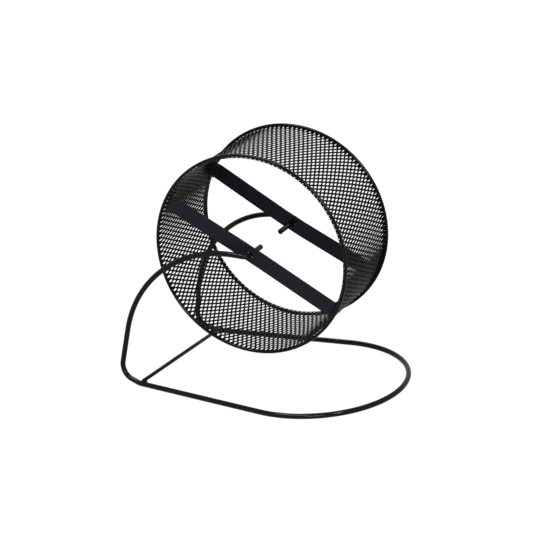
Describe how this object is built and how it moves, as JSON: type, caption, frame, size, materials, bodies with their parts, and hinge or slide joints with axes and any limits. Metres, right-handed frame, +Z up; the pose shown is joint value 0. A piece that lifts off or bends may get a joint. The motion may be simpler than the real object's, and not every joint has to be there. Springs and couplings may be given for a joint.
{
  "type": "rodent exercise wheel",
  "caption": "Black wire-mesh exercise wheel with wire rims and flat spoke straps, turning on two hooked arms of a bent-wire stand with an open, round-ended floor loop and a cross brace.",
  "frame": {"origin": "on the floor, under the middle of the whole part's box", "axes": "+Z up, Y along the wheel's axle with the far strap at +Y, +X towards the round end of the floor loop"},
  "size_m": [0.2802, 0.1874, 0.244],
  "materials": {
    "stand_wire": "semi-gloss black powder coat on round steel wire",
    "brace_wire": "semi-gloss black powder coat on thin round steel wire",
    "rim_wire": "semi-gloss black powder coat on round steel wire",
    "mesh": "semi-gloss black powder coat on expanded steel mesh",
    "strap": "satin black powder coat on flat steel strap"
  },
  "bodies": {
    "stand": {"floor_loop": "stand_wire", "near_arm": "stand_wire", "far_arm": "stand_wire", "near_pin": "stand_wire", "far_pin": "stand_wire", "cross_brace": "brace_wire"},
    "wheel": {"mesh_band": "mesh", "near_rim": "rim_wire", "far_rim": "rim_wire", "near_strap": "strap", "far_strap": "strap"}
  },
  "joints": [
    {"name": "wheel_spin", "type": "hinge", "parent": "stand", "child": "wheel", "pos_m": [0.0101, 0.00318, 0.144], "axis": [0, 1, 0], "continuous": true}
  ]
}
